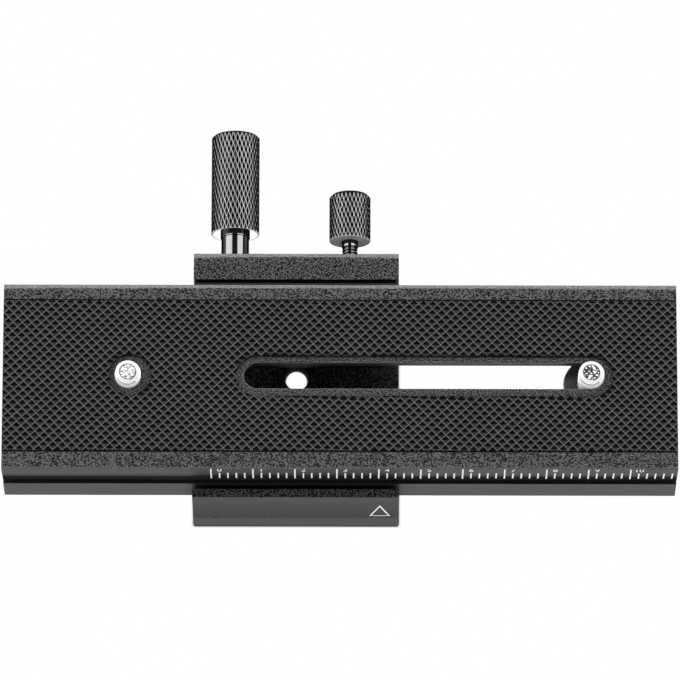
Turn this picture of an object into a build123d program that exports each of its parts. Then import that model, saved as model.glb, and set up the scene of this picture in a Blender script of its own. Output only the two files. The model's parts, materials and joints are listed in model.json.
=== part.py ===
from build123d import *
import math
import os

os.makedirs("parts", exist_ok=True)

# All sizes are in millimetres. X runs along the rail, Y from the scale towards the knobs, Z up.
# The origin is the tripod socket's centre on the underside of the base.

# Sliding rail bar, an aluminium extrusion
rail_length = 160.0
rail_width = 46.15
rail_height = 21.7
rail_front_chamfer = 0.4
rail_back_round = 1.6
scale_face_height = 9.6
scale_curve_start = 3.5
scale_curve_height = 5.0
scale_curve_depth = 0.5
scale_ridge_sink = 0.2
side_groove_height = 2.5
side_groove_depth = 1.5
side_groove_round = 0.5

# Camera slot, screw hole and the tee slot that keeps the screw heads
slot_offset = 0.175
slot_width = 6.4
slot_left_inset = 57.2
slot_right_inset = 17.0
slot_edge_break = 0.15
web_thickness = 2.2
screw_hole_inset = 29.7
tee_width = 13.8
tee_height = 7.4
tee_mouth = 12.0
tee_lip = 1.2

# Channel under the rail with its hook grooves
channel_width = 25.0
channel_round = 0.6
hook_groove_depth = 2.2
hook_groove_height = 2.2
hook_groove_rise = 2.5

# Rubber pad in the top of the rail
pad_width = 37.7
pad_thickness = 0.8
pad_pocket_depth = 0.5
pad_side_gap = 0.15
pad_slot_rim = 1.8
pad_slot_drop = 0.25
pad_hole_radius = 5.0
pad_hole_shift = 0.5

# Rack and pinion
gear_module = 0.8
pinion_teeth = 12
pressure_angle = 20.0
gear_backlash = 0.14
pinion_dedendum = 1.0
rack_addendum = 0.55
rack_dedendum = 1.0
rack_back = 1.85
rack_width = 5.0
rack_y = 18.5
rack_side_gap = 0.1
rack_depth_margin = 0.1
rack_spare_gaps = 2
rack_end_land = 6.0
pinion_width = 4.2

# Rack screws
rack_screw_radius = 1.25
rack_screw_head_radius = 2.35
rack_screw_length = 8.6
rack_screw_inset = 3.2
screw_hole_clearance = 0.15

# Stop pins
stop_pin_inset = 4.2
stop_pin_radius = 1.25
stop_pin_length = 12.5
stop_pin_depth = 4.8
stop_gap = 0.1

# Base block, an aluminium extrusion
base_length = 49.2
base_plate = 2.8
chamber_height = 8.7
deck_thickness = 2.95
chamber_front = -12.0
chamber_back = 20.9
deck_gap = 0.25
lip_height = 9.3
front_lip = 2.05
front_lip_gap = 1.2
back_wall = 6.9
back_lip_round = 1.6
base_edge_round = 0.8
foot_height = 7.3
foot_flare = 0.1
face_line_width = 0.5
face_line_depth = 0.2
rib_thickness = 2.3
rib_gap = 0.3
rail_rest_shift = 10.5

# Tripod sockets in the base plate
socket_offset = 9.725
socket_radius = 3.2
large_socket_radius = 4.8
large_socket_offset = -10.95

# Gib plate beside the rail
gib_thickness = 4.7
gib_rail_gap = 0.2
gib_wall_gap = 0.3
gib_end_gap = 0.55
gib_height = 8.25
gib_floor_gap = 0.1
gib_chamfer = 0.4
gib_dimple_radius = 1.7
gib_dimple_depth = 1.0

# Focus shaft with its bush and washers
shaft_radius = 3.35
journal_radius = 2.25
shaft_end_radius = 2.0
shaft_flat = 0.5
shaft_end_length = 6.3
shaft_fit = 0.05
shaft_reach = 8.8
shaft_collar_radius = 3.55
shaft_collar_length = 1.1
shaft_tail_radius = 2.5
shaft_tail_length = 17.0
bush_radius = 4.3
bush_length = 5.0
thrust_washer_thickness = 0.45
thrust_washer_play = 0.05
inner_washer_radius = 3.5
inner_washer_thickness = 0.3
clip_radius = 3.3
clip_thickness = 0.6
clip_groove_radius = 1.5
clip_groove_distance = 0.1
clip_mouth = 2.4
shaft_inset = 9.72
window_half_length = 6.3
window_margin = 0.4

# Focus knob
focus_knob_radius = 5.8
focus_knob_length = 24.86
focus_knob_rim = 0.45
knob_fit = 0.02
grub_radius = 1.5
grub_distance = 4.0
grub_recess = 0.5

# Lock screw and lock knob
lock_screw_inset = 11.75
lock_screw_height = 19.3
lock_screw_radius = 1.95
lock_hole_radius = 2.0
lock_reach = 4.15
lock_tail_length = 8.0
lock_point_radius = 1.4
lock_point_gap = 0.05
lock_point_chamfer = 0.3
lock_knob_radius = 4.95
lock_knob_length = 11.6
lock_knob_rim = 0.7

# Camera screws and their washers
camera_screw_radius = 3.13
camera_screw_tip_chamfer = 0.92
camera_screw_proud = 2.45
screw_head_radius = 6.5
screw_head_height = 3.0
screw_head_edge = 0.4
screw_rest_gap = 0.05
coin_slot_width = 1.6
coin_slot_depth = 1.3
right_screw_inset = 3.4
screw_washer_radius = 6.2
screw_washer_bore = 3.3
screw_washer_thickness = 0.5

# Heights, counted up from the underside of the base
chamber_floor_z = base_plate
chamber_roof_z = chamber_floor_z + chamber_height
deck_z = chamber_roof_z + deck_thickness
lip_top_z = deck_z + lip_height
rail_bottom_z = deck_z + deck_gap
rail_top_z = rail_bottom_z + rail_height
pad_floor_z = rail_top_z - pad_pocket_depth
web_bottom_z = pad_floor_z - web_thickness
tee_floor_z = web_bottom_z - tee_height
channel_roof_z = tee_floor_z - tee_lip
hook_groove_z = rail_bottom_z + hook_groove_rise
side_groove_z = rail_top_z - scale_face_height - side_groove_height
ridge_z = rail_top_z - scale_face_height
curve_top_z = rail_top_z - scale_curve_start
curve_bottom_z = curve_top_z - scale_curve_height
curve_radius = (scale_curve_height**2 + scale_curve_depth**2) / (2 * scale_curve_depth)

# Places across the rail, counted from the rail's centreline
rail_axis_y = -socket_offset
rail_half = rail_width / 2
front_lip_inner = rail_half + front_lip_gap
front_face = front_lip_inner + front_lip
gib_front = rail_half + gib_rail_gap
gib_back = gib_front + gib_thickness
back_lip_inner = gib_back + gib_wall_gap
back_face = back_lip_inner + back_wall
rib_outer = channel_width / 2 - rib_gap
rib_inner = rib_outer - rib_thickness
flange_outer = rib_outer + hook_groove_depth
flange_bottom_z = hook_groove_z + rib_gap
flange_top_z = hook_groove_z + hook_groove_height - rib_gap

# Places along the rail, counted from the tripod socket
rail_x = rail_rest_shift
rail_left_x = rail_x - rail_length / 2
pinion_x = -base_length / 2 + shaft_inset
lock_screw_x = base_length / 2 - lock_screw_inset
screw_line_y = rail_axis_y + slot_offset
rail_right_x = rail_x + rail_length / 2
slot_left_x = rail_left_x + slot_left_inset
slot_right_x = rail_right_x - slot_right_inset
slot_length = slot_right_x - slot_left_x
slot_x = (slot_left_x + slot_right_x) / 2
left_screw_x = rail_left_x + screw_hole_inset
slide_screw_x = slot_right_x - right_screw_inset
stop_pin_x = rail_length / 2 - stop_pin_inset
half_travel = stop_pin_x - base_length / 2 - stop_pin_radius - stop_gap
stop_pin_y = channel_width / 2 - channel_round - stop_pin_radius - stop_gap

# Rack and pinion geometry
pitch = math.pi * gear_module
pitch_radius = gear_module * pinion_teeth / 2
tip_radius = pitch_radius + gear_module
root_radius = pitch_radius - pinion_dedendum
involute_radius = pitch_radius * math.cos(math.radians(pressure_angle))
tooth_thickness = pitch / 2 - gear_backlash / 2
flank_slope = math.tan(math.radians(pressure_angle))
rack_tip_z = rail_bottom_z + rack_depth_margin
rack_pitch_z = rack_tip_z + rack_addendum
rack_root_z = rack_pitch_z + rack_dedendum
rack_top_z = rack_root_z + rack_back
shaft_z = rack_pitch_z - pitch_radius
left_gaps = math.ceil((half_travel - rail_x) / pitch) + rack_spare_gaps
right_gaps = math.ceil((half_travel + rail_x) / pitch) + rack_spare_gaps
gap_count = left_gaps + right_gaps + 1
rack_gap_centre = pinion_x + pitch * (right_gaps - left_gaps) / 2
rack_length = pitch * gap_count + 2 * rack_end_land
rack_screw_spread = rack_length - 2 * rack_screw_inset
rack_line_y = rail_axis_y + rack_y

# Stations along the focus shaft, counted from the rail's centreline
bush_seat = back_face - bush_length - thrust_washer_thickness - thrust_washer_play
shaft_shoulder = bush_seat + thrust_washer_thickness + thrust_washer_play
pinion_back = chamber_back - inner_washer_thickness - 2 * thrust_washer_play
pinion_front = pinion_back - pinion_width
clip_back = pinion_front - clip_groove_distance
shaft_inner_end = pinion_back - shaft_end_length
window_front = shaft_inner_end - window_margin
shaft_collar = back_face + shaft_reach - shaft_collar_length
focus_knob_front = back_face + shaft_reach
shaft_outer_end = focus_knob_front + shaft_tail_length

# Stations along the lock screw, counted from the rail's centreline
lock_knob_front = back_face + lock_reach
lock_screw_end = lock_knob_front + lock_tail_length
lock_point = gib_back - gib_dimple_depth + lock_point_gap
lock_shoulder = gib_back + lock_point_gap

# Heights on the camera screws
screw_bottom_z = tee_floor_z + screw_rest_gap
screw_head_top_z = screw_bottom_z + screw_head_height
screw_tip_z = rail_top_z + camera_screw_proud

# Work planes
rail_plane = Plane(origin=(rail_left_x, rail_axis_y, 0), x_dir=(0, 1, 0), z_dir=(1, 0, 0))
base_plane = Plane(origin=(-base_length / 2, rail_axis_y, 0), x_dir=(0, 1, 0), z_dir=(1, 0, 0))
gib_plane = base_plane.offset(gib_end_gap)
rack_plane = Plane(origin=(rack_gap_centre, rack_line_y, 0), x_dir=(1, 0, 0), z_dir=(0, -1, 0))
shaft_plane = Plane(origin=(pinion_x, rail_axis_y, shaft_z), x_dir=(1, 0, 0), z_dir=(0, 0, 1))
lock_plane = Plane(
    origin=(lock_screw_x, rail_axis_y, lock_screw_height), x_dir=(1, 0, 0), z_dir=(0, 0, 1)
)
shaft_axis = Axis((pinion_x, rail_axis_y, shaft_z), (0, 1, 0))
lock_axis = Axis((lock_screw_x, rail_axis_y, lock_screw_height), (0, 1, 0))
stand_up = (Align.CENTER, Align.MIN)
hang_down = (Align.CENTER, Align.MAX)
selector_margin = 0.01


def across(x, y, z):
    """Plane that faces the knobs, at y from the rail's centreline."""
    return Plane(origin=(x, rail_axis_y + y, z), x_dir=(-1, 0, 0), z_dir=(0, 1, 0))


def edges_along_rail(part, y, z):
    """Edges parallel to the rail at y from its centreline and height z."""
    return (
        part.edges()
        .filter_by(Axis.X)
        .filter_by_position(Axis.Y, rail_axis_y + y - selector_margin, rail_axis_y + y + selector_margin)
        .filter_by_position(Axis.Z, z - selector_margin, z + selector_margin)
    )


def involute_angle(radius):
    """Angle that an involute has turned through when it reaches a radius."""
    roll = math.acos(involute_radius / radius)
    return math.tan(roll) - roll


def flank_point(radius, side, centre):
    """Point of a pinion tooth's flank, side +1 or -1, around the tooth's centre angle."""
    half = tooth_thickness / pitch_radius / 2
    half += involute_angle(pitch_radius) - involute_angle(max(radius, involute_radius))
    angle = centre + side * half
    return (radius * math.cos(angle), radius * math.sin(angle))


# Rail bar
with BuildPart() as rail_bar:
    with BuildSketch(rail_plane):
        with Locations((0, rail_bottom_z)):
            Rectangle(rail_width, rail_height, align=stand_up)
        with Locations((0, pad_floor_z)):
            Rectangle(pad_width + 2 * pad_side_gap, pad_thickness, align=stand_up, mode=Mode.SUBTRACT)
        with Locations((slot_offset, tee_floor_z)):
            Rectangle(tee_width, tee_height, align=stand_up, mode=Mode.SUBTRACT)
        with Locations((slot_offset, channel_roof_z)):
            Rectangle(tee_mouth, tee_lip, align=stand_up, mode=Mode.SUBTRACT)
        with Locations((0, rail_bottom_z)):
            Rectangle(channel_width, channel_roof_z - rail_bottom_z, align=stand_up, mode=Mode.SUBTRACT)
        with Locations((0, hook_groove_z)):
            Rectangle(
                channel_width + 2 * hook_groove_depth,
                hook_groove_height,
                align=stand_up,
                mode=Mode.SUBTRACT,
            )
        with Locations((rack_y, rack_top_z)):
            Rectangle(
                rack_width + 2 * rack_side_gap,
                rack_top_z - rail_bottom_z,
                align=hang_down,
                mode=Mode.SUBTRACT,
            )
        with Locations((-rail_half, side_groove_z), (rail_half, side_groove_z)):
            Rectangle(2 * side_groove_depth, side_groove_height, align=stand_up, mode=Mode.SUBTRACT)
        # The face curves in below the scale, down to a low ridge
        with BuildLine():
            curve = RadiusArc(
                (-rail_half, curve_top_z),
                (-rail_half + scale_curve_depth, curve_bottom_z),
                -curve_radius,
            )
            Polyline(
                curve @ 1,
                (-rail_half + scale_ridge_sink, ridge_z),
                (-rail_half, ridge_z),
                curve @ 0,
            )
        make_face(mode=Mode.SUBTRACT)
    extrude(amount=rail_length)
    fillet(edges_along_rail(rail_bar, rail_half, rail_top_z), rail_back_round)
    chamfer(edges_along_rail(rail_bar, -rail_half, rail_top_z), rail_front_chamfer)
    for groove_side in (-1, 1):
        for groove_z in (side_groove_z, side_groove_z + side_groove_height):
            groove_floor = groove_side * (rail_half - side_groove_depth)
            fillet(edges_along_rail(rail_bar, groove_floor, groove_z), side_groove_round)
        fillet(edges_along_rail(rail_bar, groove_side * channel_width / 2, channel_roof_z), channel_round)
    # Camera slot with a broken upper edge
    with BuildSketch(Plane.XY.offset(pad_floor_z)):
        with Locations((slot_x, screw_line_y)):
            SlotOverall(slot_length, slot_width)
        with Locations((left_screw_x, screw_line_y)):
            Circle(slot_width / 2)
    extrude(amount=-web_thickness, mode=Mode.SUBTRACT)
    slot_edges = (
        rail_bar.edges()
        .filter_by_position(Axis.Z, pad_floor_z - selector_margin, pad_floor_z + selector_margin)
        .filter_by_position(Axis.Y, screw_line_y - slot_width / 2 - selector_margin,
                            screw_line_y + slot_width / 2 + selector_margin)
        .filter_by_position(Axis.X, left_screw_x - slot_width, slot_right_x + selector_margin)
    )
    chamfer(slot_edges, slot_edge_break)
    # Holes for the stop pins
    with Locations((rail_x, rail_axis_y + stop_pin_y, channel_roof_z)):
        with GridLocations(2 * stop_pin_x, 1, 2, 1):
            Cylinder(
                stop_pin_radius,
                stop_pin_depth,
                align=(Align.CENTER, Align.CENTER, Align.MIN),
                mode=Mode.SUBTRACT,
            )
    # Tapped holes for the rack screws
    with Locations((rack_gap_centre, rack_line_y, rack_top_z)):
        with GridLocations(rack_screw_spread, 1, 2, 1):
            Cylinder(
                rack_screw_radius,
                rack_tip_z + rack_screw_length - rack_top_z + screw_hole_clearance,
                align=(Align.CENTER, Align.CENTER, Align.MIN),
                mode=Mode.SUBTRACT,
            )

# Rubber pad with its cut-outs
with BuildPart() as rubber_pad:
    with BuildSketch(Plane.XY.offset(pad_floor_z)):
        with Locations((rail_x, rail_axis_y)):
            Rectangle(rail_length, pad_width)
        with Locations((slot_x, screw_line_y - pad_slot_drop)):
            SlotOverall(
                slot_length + 2 * pad_slot_rim,
                slot_width + 2 * pad_slot_rim,
                mode=Mode.SUBTRACT,
            )
        with Locations((left_screw_x + pad_hole_shift, screw_line_y)):
            Circle(pad_hole_radius, mode=Mode.SUBTRACT)
    extrude(amount=pad_thickness)

# Rack with stub teeth that point down
with BuildPart() as rack:
    with BuildSketch(rack_plane):
        with Locations((0, rack_tip_z)):
            Rectangle(rack_length, rack_top_z - rack_tip_z, align=stand_up)
        with BuildLine():
            gap_at_tip = pitch / 2 - tooth_thickness / 2 + rack_addendum * flank_slope
            gap_at_root = pitch / 2 - tooth_thickness / 2 - rack_dedendum * flank_slope
            Polyline(
                (-gap_at_tip, rack_tip_z),
                (gap_at_tip, rack_tip_z),
                (gap_at_root, rack_root_z),
                (-gap_at_root, rack_root_z),
                close=True,
            )
        tooth_gap = make_face(mode=Mode.PRIVATE)
        with GridLocations(pitch, 1, gap_count, 1):
            add(tooth_gap, mode=Mode.SUBTRACT)
    extrude(amount=rack_width / 2, both=True)
    with Locations(Plane(origin=(rack_gap_centre, rack_line_y, rack_tip_z), z_dir=(0, 0, -1))):
        with GridLocations(rack_screw_spread, 1, 2, 1):
            CounterSinkHole(
                rack_screw_radius + screw_hole_clearance,
                rack_screw_head_radius + screw_hole_clearance,
                rack_top_z - rack_tip_z,
                counter_sink_angle=90,
            )

# Countersunk rack screws
with BuildPart() as rack_screws:
    with BuildSketch(Plane(origin=(0, rack_line_y, 0), x_dir=(1, 0, 0), z_dir=(0, -1, 0))):
        with BuildLine():
            Polyline(
                (0, rack_tip_z),
                (rack_screw_head_radius, rack_tip_z),
                (rack_screw_radius, rack_tip_z + rack_screw_head_radius - rack_screw_radius),
                (rack_screw_radius, rack_tip_z + rack_screw_length),
                (0, rack_tip_z + rack_screw_length),
                close=True,
            )
        make_face()
    rack_screw = revolve(axis=Axis((0, rack_line_y, 0), (0, 0, 1)), mode=Mode.PRIVATE)
    with Locations((rack_gap_centre, 0, 0)):
        with GridLocations(rack_screw_spread, 1, 2, 1):
            add(rack_screw)

# Stop pins
with BuildPart() as stop_pins:
    with BuildSketch(Plane.XY.offset(channel_roof_z + stop_pin_depth)):
        with Locations((rail_x, rail_axis_y + stop_pin_y)):
            with GridLocations(2 * stop_pin_x, 1, 2, 1):
                Circle(stop_pin_radius)
    extrude(amount=-stop_pin_length)

# Base block
with BuildPart() as base_block:
    with BuildSketch(base_plane):
        with Locations((-front_face, 0)):
            Rectangle(front_face + back_face, lip_top_z, align=(Align.MIN, Align.MIN))
        with Locations((-front_lip_inner, deck_z)):
            Rectangle(
                front_lip_inner + back_lip_inner,
                lip_height,
                align=(Align.MIN, Align.MIN),
                mode=Mode.SUBTRACT,
            )
        with Locations((chamber_front, chamber_floor_z)):
            Rectangle(
                chamber_back - chamber_front,
                chamber_height,
                align=(Align.MIN, Align.MIN),
                mode=Mode.SUBTRACT,
            )
        with Locations((0, chamber_roof_z)):
            Rectangle(2 * rib_inner, deck_thickness, align=stand_up, mode=Mode.SUBTRACT)
        # Ribs with outward flanges that hook the rail
        for side in (-1, 1):
            with Locations((side * (rib_inner + rib_outer) / 2, deck_z)):
                Rectangle(rib_thickness, flange_top_z - deck_z, align=stand_up)
            with Locations((side * (rib_inner + flange_outer) / 2, flange_bottom_z)):
                Rectangle(flange_outer - rib_inner, flange_top_z - flange_bottom_z, align=stand_up)
        with Locations((-front_face - foot_flare, 0)):
            Rectangle(2 * foot_flare, foot_height, align=(Align.MIN, Align.MIN))
        with Locations((-front_face, foot_height)):
            Rectangle(2 * face_line_depth, face_line_width, mode=Mode.SUBTRACT)
    extrude(amount=base_length)
    fillet(edges_along_rail(base_block, back_face, lip_top_z), back_lip_round)
    for edge_y in (-front_face - foot_flare, back_face):
        fillet(edges_along_rail(base_block, edge_y, 0), base_edge_round)
    for corner_y in (chamber_front, chamber_back):
        for corner_z in (chamber_floor_z, chamber_roof_z):
            fillet(edges_along_rail(base_block, corner_y, corner_z), base_edge_round)
    # Window for the pinion
    with BuildSketch(Plane.XY.offset(deck_z)):
        with Locations((pinion_x, rail_axis_y + window_front)):
            Rectangle(2 * window_half_length, chamber_back - window_front, align=stand_up)
    extrude(amount=-deck_thickness - base_edge_round, mode=Mode.SUBTRACT)
    # Bush seat and journal bore of the focus shaft
    with Locations(across(pinion_x, back_face, shaft_z)):
        CounterBoreHole(
            journal_radius + shaft_fit, bush_radius, back_face - bush_seat, depth=back_face - chamber_back
        )
    # Tapped hole of the lock screw
    with Locations(across(lock_screw_x, back_face, lock_screw_height)):
        Hole(lock_hole_radius, depth=back_wall)
    # Tripod sockets
    with Locations((0, 0, base_plate)):
        Hole(socket_radius, depth=base_plate)
    with Locations((0, large_socket_offset, base_plate)):
        Hole(large_socket_radius, depth=base_plate)

# Gib plate with a dimple for the lock screw's point
with BuildPart() as gib_plate:
    with BuildSketch(gib_plane):
        with Locations((gib_front, deck_z + gib_floor_gap)):
            gib_outline = Rectangle(gib_thickness, gib_height, align=(Align.MIN, Align.MIN))
        chamfer(gib_outline.vertices(), gib_chamfer)
    extrude(amount=base_length - 2 * gib_end_gap)
    with Locations(across(lock_screw_x, gib_back, lock_screw_height)):
        Hole(gib_dimple_radius, depth=gib_dimple_depth)

# Bush of the focus shaft
with BuildPart() as outer_bushing:
    with BuildSketch(across(pinion_x, shaft_shoulder, shaft_z)):
        Circle(bush_radius)
        Circle(shaft_radius + shaft_fit, mode=Mode.SUBTRACT)
    extrude(amount=bush_length)

# Thrust washer under the shaft's shoulder
with BuildPart() as outer_thrust_washer:
    with BuildSketch(across(pinion_x, bush_seat, shaft_z)):
        Circle(bush_radius)
        Circle(journal_radius + shaft_fit, mode=Mode.SUBTRACT)
    extrude(amount=thrust_washer_thickness)

# Thrust washer between the pinion and the chamber wall
with BuildPart() as inner_thrust_washer:
    with BuildSketch(across(pinion_x, pinion_back + thrust_washer_play, shaft_z)):
        Circle(inner_washer_radius)
        Circle(journal_radius + shaft_fit, mode=Mode.SUBTRACT)
    extrude(amount=inner_washer_thickness)

# Turned focus shaft with a flat and a clip groove at its inner end
with BuildPart() as focus_shaft:
    with BuildSketch(shaft_plane):
        with BuildLine():
            Polyline(
                (0, shaft_inner_end),
                (shaft_end_radius, shaft_inner_end),
                (shaft_end_radius, clip_back - clip_thickness - thrust_washer_play),
                (clip_groove_radius, clip_back - clip_thickness - thrust_washer_play),
                (clip_groove_radius, clip_back + thrust_washer_play),
                (shaft_end_radius, clip_back + thrust_washer_play),
                (shaft_end_radius, pinion_back),
                (journal_radius, pinion_back),
                (journal_radius, shaft_shoulder),
                (shaft_radius, shaft_shoulder),
                (shaft_radius, shaft_collar),
                (shaft_collar_radius, shaft_collar),
                (shaft_collar_radius, focus_knob_front),
                (shaft_tail_radius, focus_knob_front),
                (shaft_tail_radius, shaft_outer_end),
                (0, shaft_outer_end),
                close=True,
            )
        make_face()
    revolve(axis=shaft_axis)
    with BuildSketch(across(pinion_x, shaft_inner_end, shaft_z)):
        with Locations((0, shaft_end_radius - shaft_flat)):
            Rectangle(2 * shaft_end_radius, shaft_flat, align=stand_up)
    extrude(amount=pinion_back - shaft_inner_end, mode=Mode.SUBTRACT)

# Involute pinion with a flat in its bore
with BuildPart() as pinion:
    with BuildSketch(across(pinion_x, pinion_front, shaft_z)):
        with BuildLine():
            middle_radius = (involute_radius + tip_radius) / 2
            step = 2 * math.pi / pinion_teeth
            for tooth in range(pinion_teeth):
                centre = math.pi / 2 + tooth * step
                Line(flank_point(root_radius, -1, centre), flank_point(involute_radius, -1, centre))
                ThreePointArc(
                    flank_point(involute_radius, -1, centre),
                    flank_point(middle_radius, -1, centre),
                    flank_point(tip_radius, -1, centre),
                )
                Line(flank_point(tip_radius, -1, centre), flank_point(tip_radius, 1, centre))
                ThreePointArc(
                    flank_point(tip_radius, 1, centre),
                    flank_point(middle_radius, 1, centre),
                    flank_point(involute_radius, 1, centre),
                )
                Line(flank_point(involute_radius, 1, centre), flank_point(root_radius, 1, centre))
                Line(flank_point(root_radius, 1, centre), flank_point(root_radius, -1, centre + step))
        make_face()
        Circle(shaft_end_radius + knob_fit, mode=Mode.SUBTRACT)
    extrude(amount=pinion_width)
    with BuildSketch(across(pinion_x, pinion_front, shaft_z)):
        Circle(shaft_end_radius + knob_fit)
        with Locations((0, shaft_end_radius - shaft_flat + knob_fit)):
            Rectangle(2 * root_radius, 2 * root_radius, align=hang_down, mode=Mode.SUBTRACT)
    extrude(amount=pinion_width)

# Open retaining clip
with BuildPart() as shaft_clip:
    with BuildSketch(across(pinion_x, clip_back - clip_thickness, shaft_z)):
        Circle(clip_radius)
        Circle(clip_groove_radius + knob_fit, mode=Mode.SUBTRACT)
        Rectangle(clip_mouth, clip_radius, align=hang_down, mode=Mode.SUBTRACT)
    extrude(amount=clip_thickness)

# Focus knob, bored for the shaft, with a tapped hole for its grub screw
with BuildPart() as focus_knob:
    with BuildSketch(shaft_plane):
        with BuildLine():
            Polyline(
                (shaft_tail_radius + knob_fit, focus_knob_front),
                (focus_knob_radius - focus_knob_rim, focus_knob_front),
                (focus_knob_radius, focus_knob_front + focus_knob_rim),
                (focus_knob_radius, focus_knob_front + focus_knob_length - focus_knob_rim),
                (focus_knob_radius - focus_knob_rim, focus_knob_front + focus_knob_length),
                (0, focus_knob_front + focus_knob_length),
                (0, shaft_outer_end + knob_fit),
                (shaft_tail_radius + knob_fit, shaft_outer_end + knob_fit),
                close=True,
            )
        make_face()
    revolve(axis=shaft_axis)
    with Locations(Plane(origin=(pinion_x, rail_axis_y + focus_knob_front + grub_distance, shaft_z),
                         z_dir=(0, 0, -1))):
        Cylinder(
            grub_radius,
            focus_knob_radius,
            align=(Align.CENTER, Align.CENTER, Align.MIN),
            mode=Mode.SUBTRACT,
        )

# Grub screw on the underside of the focus knob
with BuildPart() as knob_grub_screw:
    grub_y = rail_axis_y + focus_knob_front + grub_distance
    grub_outer_z = shaft_z - focus_knob_radius + grub_recess
    with BuildSketch(Plane.XY.offset(grub_outer_z)):
        with Locations((pinion_x, grub_y)):
            Circle(grub_radius)
    extrude(amount=shaft_z - shaft_tail_radius - grub_outer_z)

# Lock screw with a dog point
with BuildPart() as lock_screw:
    with BuildSketch(lock_plane):
        with BuildLine():
            Polyline(
                (0, lock_point),
                (lock_point_radius - lock_point_chamfer, lock_point),
                (lock_point_radius, lock_point + lock_point_chamfer),
                (lock_point_radius, lock_shoulder),
                (lock_screw_radius, lock_shoulder),
                (lock_screw_radius, lock_screw_end),
                (0, lock_screw_end),
                close=True,
            )
        make_face()
    revolve(axis=lock_axis)

# Lock knob
with BuildPart() as lock_knob:
    with BuildSketch(lock_plane):
        with BuildLine():
            Polyline(
                (lock_screw_radius + knob_fit, lock_knob_front),
                (lock_knob_radius - focus_knob_rim, lock_knob_front),
                (lock_knob_radius, lock_knob_front + focus_knob_rim),
                (lock_knob_radius, lock_knob_front + lock_knob_length - lock_knob_rim),
                (lock_knob_radius - lock_knob_rim, lock_knob_front + lock_knob_length),
                (0, lock_knob_front + lock_knob_length),
                (0, lock_screw_end + knob_fit),
                (lock_screw_radius + knob_fit, lock_screw_end + knob_fit),
                close=True,
            )
        make_face()
    revolve(axis=lock_axis)


def camera_screw(x):
    """Camera screw with a slotted head, standing at x on the slot's centreline."""
    with BuildPart() as screw:
        with BuildSketch(Plane(origin=(x, screw_line_y, 0), x_dir=(1, 0, 0), z_dir=(0, -1, 0))):
            with BuildLine():
                Polyline(
                    (0, screw_bottom_z),
                    (screw_head_radius - screw_head_edge, screw_bottom_z),
                    (screw_head_radius, screw_bottom_z + screw_head_edge),
                    (screw_head_radius, screw_head_top_z),
                    (camera_screw_radius, screw_head_top_z),
                    (camera_screw_radius, screw_tip_z - camera_screw_tip_chamfer),
                    (camera_screw_radius - camera_screw_tip_chamfer, screw_tip_z),
                    (0, screw_tip_z),
                    close=True,
                )
            make_face()
        revolve(axis=Axis((x, screw_line_y, 0), (0, 0, 1)))
        with BuildSketch(Plane.XY.offset(screw_bottom_z)):
            with Locations((x, screw_line_y)):
                Rectangle(3 * screw_head_radius, coin_slot_width)
        extrude(amount=coin_slot_depth, mode=Mode.SUBTRACT)
    return screw.part


def screw_washer(x):
    """Washer that lies on a camera screw's head."""
    with BuildPart() as washer:
        with BuildSketch(Plane.XY.offset(screw_head_top_z)):
            with Locations((x, screw_line_y)):
                Circle(screw_washer_radius)
                Circle(screw_washer_bore, mode=Mode.SUBTRACT)
        extrude(amount=screw_washer_thickness)
    return washer.part


left_camera_screw = camera_screw(left_screw_x)
left_screw_washer = screw_washer(left_screw_x)
right_camera_screw = camera_screw(slide_screw_x)
right_screw_washer = screw_washer(slide_screw_x)

# Labels and files, one for each piece
pieces = {
    "rail_bar": rail_bar.part,
    "rubber_pad": rubber_pad.part,
    "rack": rack.part,
    "rack_screws": rack_screws.part,
    "stop_pins": stop_pins.part,
    "base_block": base_block.part,
    "gib_plate": gib_plate.part,
    "outer_bushing": outer_bushing.part,
    "outer_thrust_washer": outer_thrust_washer.part,
    "inner_thrust_washer": inner_thrust_washer.part,
    "focus_shaft": focus_shaft.part,
    "pinion": pinion.part,
    "shaft_clip": shaft_clip.part,
    "focus_knob": focus_knob.part,
    "knob_grub_screw": knob_grub_screw.part,
    "lock_screw": lock_screw.part,
    "lock_knob": lock_knob.part,
    "left_camera_screw": left_camera_screw,
    "left_screw_washer": left_screw_washer,
    "right_camera_screw": right_camera_screw,
    "right_screw_washer": right_screw_washer,
}
for name, piece in pieces.items():
    piece.label = name
    export_step(piece, f"parts/{name}.step")
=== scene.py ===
"""Looks of a macro focus rail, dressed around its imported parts."""

import json
import logging
import math
from dataclasses import dataclass
from enum import Enum
from typing import Any, Iterable, Mapping, Sequence

import bmesh
import bpy
from mathutils import Matrix, Vector


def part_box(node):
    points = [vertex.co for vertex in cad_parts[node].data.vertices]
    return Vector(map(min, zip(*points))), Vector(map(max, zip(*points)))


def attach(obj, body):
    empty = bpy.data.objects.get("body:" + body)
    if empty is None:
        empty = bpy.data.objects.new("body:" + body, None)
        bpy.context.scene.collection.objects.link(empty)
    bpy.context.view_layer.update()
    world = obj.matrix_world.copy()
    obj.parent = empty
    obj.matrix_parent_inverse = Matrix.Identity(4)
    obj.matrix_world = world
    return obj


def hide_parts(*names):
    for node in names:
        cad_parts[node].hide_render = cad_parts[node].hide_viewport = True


Colour = tuple[float, float, float]
Outline = Sequence[tuple[float, float]]

MM = 0.001
MERGE = 1e-6
WELD = 5 * MERGE
STAND_UP = Matrix.Rotation(math.radians(90), 4, "X")
LIE_DOWN = Matrix.Rotation(math.radians(-90), 4, "X")
SHARP_EDGE = 40.0
BEVEL_SEGMENTS = 2
THREAD_CREASE = 28.0

logging.basicConfig(level=logging.INFO, format="%(message)s")
log = logging.getLogger("focus_rail")

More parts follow.
